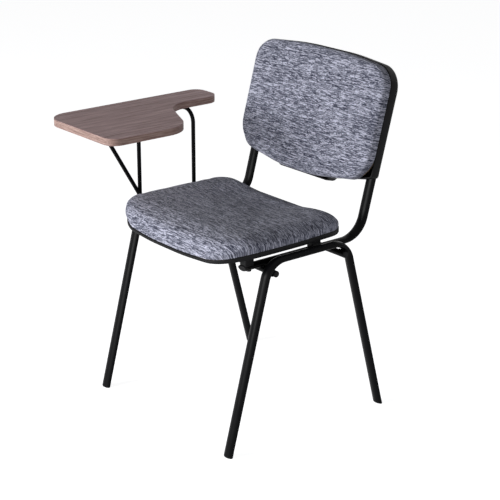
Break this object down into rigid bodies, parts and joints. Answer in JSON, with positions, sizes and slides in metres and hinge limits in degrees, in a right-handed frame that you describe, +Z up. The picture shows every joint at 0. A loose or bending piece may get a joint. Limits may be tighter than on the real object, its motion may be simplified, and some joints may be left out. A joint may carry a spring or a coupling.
{
  "type": "conference chair with writing tablet",
  "caption": "Upholstered conference chair on black oval-tube leg loops, with plastic-shelled seat and back and a wood-look writing tablet carried by bent rods at the sitter's right.",
  "frame": {"origin": "on the floor, under the centre of the chair's overall box", "axes": "+Z up, square to the tablet's top; -Y towards the front, where the sitter faces; +X towards the sitter's left, so the tablet is on the -X side"},
  "size_m": [0.6286, 0.5938, 0.8275],
  "materials": {
    "black_frame": "satin black powder coat on steel tube and rod",
    "black_plastic": "fine-textured black moulded plastic",
    "grey_fabric": "heathered grey-blue woven upholstery with light and dark flecks",
    "plywood": "raw moulded beech plywood, hidden by the padding",
    "walnut_laminate": "greyish walnut laminate, grain running front to back",
    "edge_band": "thin wood-look edge band",
    "zinc_steel": "bright zinc-plated fixings",
    "black_screws": "black-coated screws and bolts"
  },
  "bodies": {
    "root": {"left_leg_loop": "black_frame", "right_leg_loop": "black_frame", "left_back_rail": "black_frame", "right_back_rail": "black_frame", "front_crossbar": "black_frame", "rear_crossbar": "black_frame", "arm_arch_rod": "black_frame", "arm_brace_rod": "black_frame", "arm_plate": "black_frame", "tablet_lugs": "black_frame", "foot_glides": "black_plastic", "rail_front_caps": "black_plastic", "crossbar_caps": "black_plastic", "seat_shell": "black_plastic", "back_shell": "black_plastic", "seat_cushion": "grey_fabric", "back_cushion": "grey_fabric", "seat_board": "plywood", "back_board": "plywood", "tablet_board": "walnut_laminate", "tablet_edge_band": "edge_band", "tablet_screws": "zinc_steel", "arm_washers": "zinc_steel", "arm_nuts": "zinc_steel", "seat_screws": "black_screws", "back_screws": "black_screws", "arm_bolts": "black_screws"}
  },
  "joints": []
}
